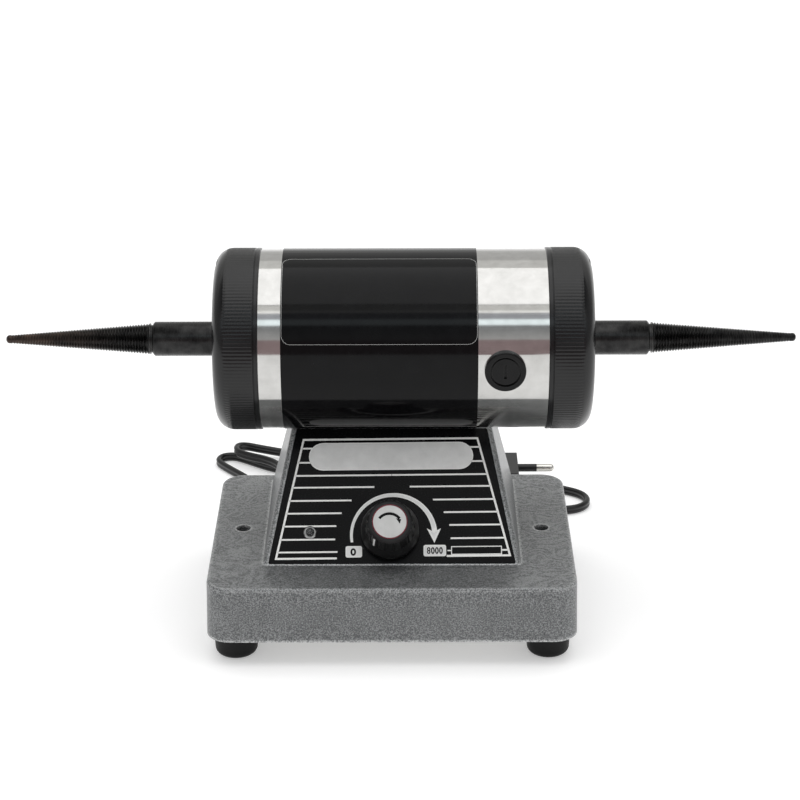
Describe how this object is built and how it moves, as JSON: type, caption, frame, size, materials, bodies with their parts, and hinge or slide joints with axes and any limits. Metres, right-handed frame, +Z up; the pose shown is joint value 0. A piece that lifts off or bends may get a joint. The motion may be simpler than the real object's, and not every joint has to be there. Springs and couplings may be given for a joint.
{
  "type": "dental polishing lathe",
  "caption": "Bench polishing motor with a tapered screw spindle at each end, on a cast base with a sloping speed control panel, rubber feet and a folded mains lead.",
  "frame": {"origin": "middle of the object on the bench, under the point midway between the spindle tips", "axes": "+X along the spindles to the object's right as seen from its control panel, +Y towards the back, +Z up"},
  "size_m": [0.3532, 0.2337, 0.1665],
  "materials": {
    "hammered_paint": "mid grey hammered paint, semi gloss",
    "black_paint": "satin black",
    "polished_steel": "turned and polished steel",
    "black_film": "glossy black film",
    "panel": "glossy black with white lines",
    "black_oxide": "black oxide steel",
    "rubber": "matte black rubber",
    "zinc_steel": "zinc plated steel",
    "bearing_steel": "ground steel",
    "lamination": "stamped laminations",
    "copper": "enamelled and bare copper",
    "ferrite": "dark grey ferrite and carbon",
    "phenolic": "black phenolic",
    "brass": "brass",
    "moulded_plastic": "moulded plastic and board",
    "knob_plastic": "satin black",
    "knob_white": "white fill",
    "knob_maroon": "maroon",
    "knob_face": "satin silver",
    "aluminium": "plain",
    "clear_lens": "clear lens",
    "chrome": "bright",
    "cord_pvc": "black PVC",
    "nickel": "nickel plated brass"
  },
  "bodies": {
    "housing": {"base_casting": "hammered_paint", "bottom_plate": "zinc_steel", "foot_front_left": "rubber", "foot_front_right": "rubber", "foot_rear_left": "rubber", "foot_rear_right": "rubber", "foot_washers": "zinc_steel", "foot_screws": "zinc_steel", "saddle_screws": "black_oxide", "motor_tube": "polished_steel", "motor_sleeve": "black_film", "data_plate": "black_film", "left_end_cap": "black_paint", "right_end_cap": "black_paint", "through_bolts": "black_oxide", "front_magnet": "ferrite", "rear_magnet": "ferrite", "left_bearing_outer": "bearing_steel", "right_bearing_outer": "bearing_steel", "brush_tubes": "brass", "brush_springs": "brass", "brush_caps": "phenolic", "front_brush_holder": "phenolic", "rear_brush_holder": "phenolic", "front_carbon_brush": "ferrite", "rear_carbon_brush": "ferrite", "control_panel": "panel", "potentiometer": "moulded_plastic", "potentiometer_nut": "zinc_steel", "power_light": "clear_lens", "power_light_bezel": "chrome", "speed_board": "moulded_plastic", "board_standoffs": "moulded_plastic", "speed_heat_sink": "aluminium", "speed_triac": "moulded_plastic", "speed_capacitor": "moulded_plastic", "terminal_block": "moulded_plastic", "cord_gland": "cord_pvc", "power_cord": "cord_pvc", "cord_hank": "cord_pvc", "plug_body": "cord_pvc", "plug_sleeves": "cord_pvc", "plug_pins": "nickel"},
    "rotor": {"rotor_shaft": "bearing_steel", "armature_core": "lamination", "armature_windings": "copper", "commutator": "copper", "cooling_fan": "moulded_plastic", "left_spindle": "black_oxide", "right_spindle": "black_oxide", "spindle_set_screws": "black_oxide", "left_bearing_inner": "bearing_steel", "right_bearing_inner": "bearing_steel", "left_bearing_balls": "bearing_steel", "right_bearing_balls": "bearing_steel"},
    "knob": {"speed_knob": "knob_plastic", "knob_pointer": "knob_white", "knob_ring": "knob_maroon", "knob_disc": "knob_face", "potentiometer_shaft": "aluminium"}
  },
  "joints": [
    {"name": "rotor_spin", "type": "hinge", "parent": "housing", "child": "rotor", "pos_m": [0, 0.012, 0.1259], "axis": [1, 0, 0], "continuous": true},
    {"name": "knob_turn", "type": "hinge", "parent": "housing", "child": "knob", "pos_m": [-0.005, -0.02836, 0.04899], "axis": [0, 0.766, -0.6428], "range_deg": [0, 270]}
  ]
}
